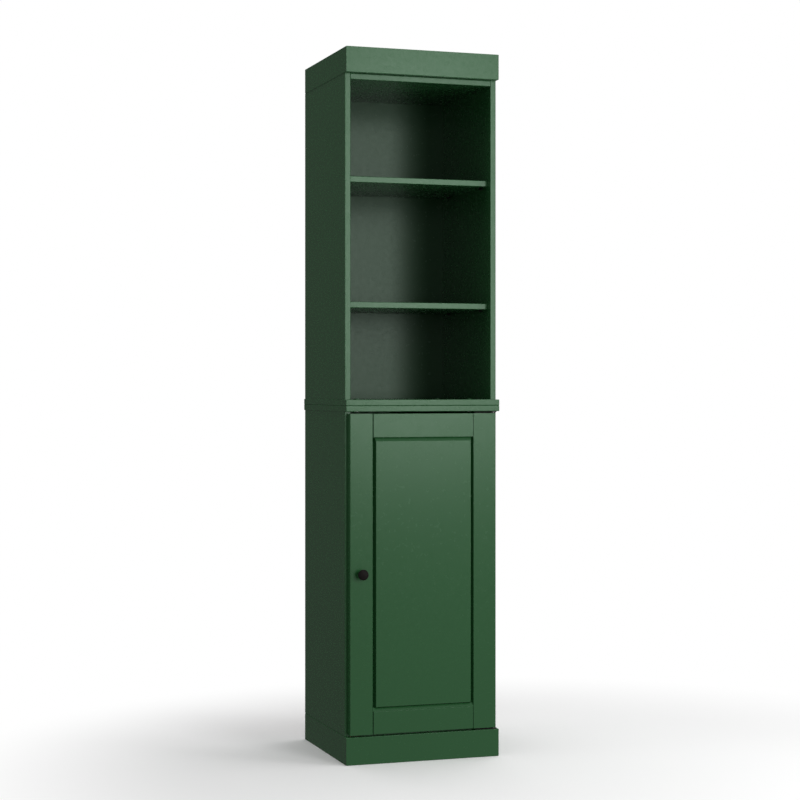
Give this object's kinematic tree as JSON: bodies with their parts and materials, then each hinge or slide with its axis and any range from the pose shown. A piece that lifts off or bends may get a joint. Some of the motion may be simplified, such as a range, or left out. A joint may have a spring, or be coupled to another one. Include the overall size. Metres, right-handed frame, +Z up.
{
  "type": "bathroom cabinet",
  "caption": "Tall narrow painted cabinet: open shelf unit on a base unit with a framed door with a raised panel on pivot hinges, round knob, plinth and plain box crown.",
  "frame": {"origin": "on the floor, under the middle of the whole outline with the knob", "axes": "+X to the right as one faces the door, +Y towards the wall behind, +Z up"},
  "size_m": [0.411, 0.4116, 1.8],
  "materials": {
    "painted_board": "dark green satin paint",
    "painted_hardboard": "dark green paint on the inner face, bare brown hardboard behind",
    "bare_wood": "planed, untreated",
    "dark_metal": "dark bronze, nearly black, satin",
    "zinc_steel": "bright zinc plate",
    "painted_steel": "heads painted with the boards",
    "hinge_steel": "blackened, dull",
    "nylon": "natural white",
    "clear_rubber": "clear, soft",
    "catch_plastic": "moulded, brown",
    "magnet": "dark sintered ceramic"
  },
  "bodies": {
    "cabinet": {"plinth_front": "painted_board", "plinth_left": "painted_board", "plinth_right": "painted_board", "plinth_back": "painted_board", "base_left_side": "painted_board", "base_right_side": "painted_board", "base_bottom_panel": "painted_board", "base_top_board": "painted_board", "base_shelf": "painted_board", "wall_rail": "painted_board", "upper_bottom_board": "painted_board", "upper_left_side": "painted_board", "upper_right_side": "painted_board", "upper_top_panel": "painted_board", "upper_shelf_low": "painted_board", "upper_shelf_high": "painted_board", "crown_front": "painted_board", "crown_left": "painted_board", "crown_right": "painted_board", "crown_back": "painted_board", "crown_lid": "painted_board", "base_back_panel": "painted_hardboard", "upper_back_panel": "painted_hardboard", "plinth_corner_blocks": "bare_wood", "crown_corner_blocks": "bare_wood", "wood_dowels": "bare_wood", "shelf_pins": "dark_metal", "joining_bolts": "painted_steel", "cam_discs": "zinc_steel", "cam_bolts": "zinc_steel", "carcass_screws": "zinc_steel", "block_screws": "zinc_steel", "back_nails": "zinc_steel", "joining_sleeves": "zinc_steel", "fixed_screws": "zinc_steel", "top_hinge_fixed_leaf": "hinge_steel", "bottom_hinge_fixed_leaf": "hinge_steel", "hinge_pins": "hinge_steel", "hinge_washers": "nylon", "catch_housing": "catch_plastic", "catch_magnet": "magnet"},
    "door": {"door_left_stile": "painted_board", "door_right_stile": "painted_board", "door_top_rail": "painted_board", "door_bottom_rail": "painted_board", "door_panel": "painted_board", "door_bumpers": "clear_rubber", "knob": "dark_metal", "knob_screw": "zinc_steel", "top_hinge_door_leaf": "hinge_steel", "bottom_hinge_door_leaf": "hinge_steel", "door_screws": "zinc_steel", "catch_strike": "zinc_steel"}
  },
  "joints": [
    {"name": "door_hinge", "type": "hinge", "parent": "cabinet", "child": "door", "pos_m": [0.191, -0.17275, 0.4775], "axis": [0, 0, 1], "range_deg": [0, 110]}
  ]
}
